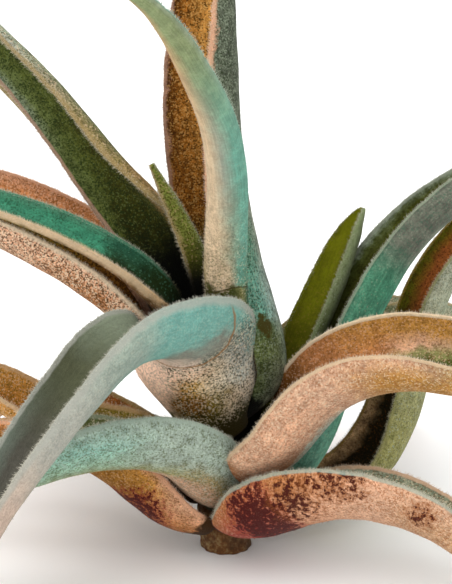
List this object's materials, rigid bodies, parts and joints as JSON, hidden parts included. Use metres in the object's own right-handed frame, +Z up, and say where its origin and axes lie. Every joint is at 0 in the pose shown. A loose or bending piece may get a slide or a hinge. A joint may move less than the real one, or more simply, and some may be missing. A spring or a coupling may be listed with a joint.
{
  "type": "fresnilloensis air plant",
  "caption": "Rosette air plant with thick felted channelled leaves that twist and arch out from a short woody stem with a small flat foot.",
  "frame": {"origin": "middle of the stem's flat foot, on the surface that the plant rests on", "axes": "+Z up, +X to the right and +Y away from the viewer in the picture"},
  "size_m": [0.1743, 0.1552, 0.132],
  "materials": {
    "dry_stem": "rough, dry and fibrous",
    "green_felt": "matt, felted with fine silvery scales",
    "olive_felt": "matt, felted with fine silvery scales",
    "mint_felt": "matt, felted with fine silvery scales",
    "sage_felt": "matt, felted with fine silvery scales",
    "coral_felt": "matt, felted with fine silvery scales",
    "ochre_felt": "matt, felted with fine silvery scales",
    "rose_felt": "matt, felted with fine silvery scales"
  },
  "bodies": {
    "root": {"stem": "dry_stem", "leaf_heart": "green_felt", "leaf_upper_left": "olive_felt", "leaf_front_upright": "mint_felt", "leaf_left_middle": "mint_felt", "leaf_back_upper_left": "sage_felt", "leaf_left_rear": "coral_felt", "leaf_back_upright": "sage_felt", "leaf_left_lower": "coral_felt", "leaf_right_short": "olive_felt", "leaf_front_fold": "mint_felt", "leaf_tall": "sage_felt", "leaf_back_left": "sage_felt", "leaf_back_right": "olive_felt", "leaf_back_low": "sage_felt", "leaf_right_front": "coral_felt", "leaf_low_left": "ochre_felt", "leaf_back_low_right": "ochre_felt", "leaf_low_left_front": "mint_felt", "leaf_right_middle": "mint_felt", "leaf_back_base_left": "coral_felt", "leaf_back_base_right": "rose_felt", "leaf_right_rear": "sage_felt", "leaf_base_right": "rose_felt", "leaf_base_left": "coral_felt"}
  },
  "joints": []
}
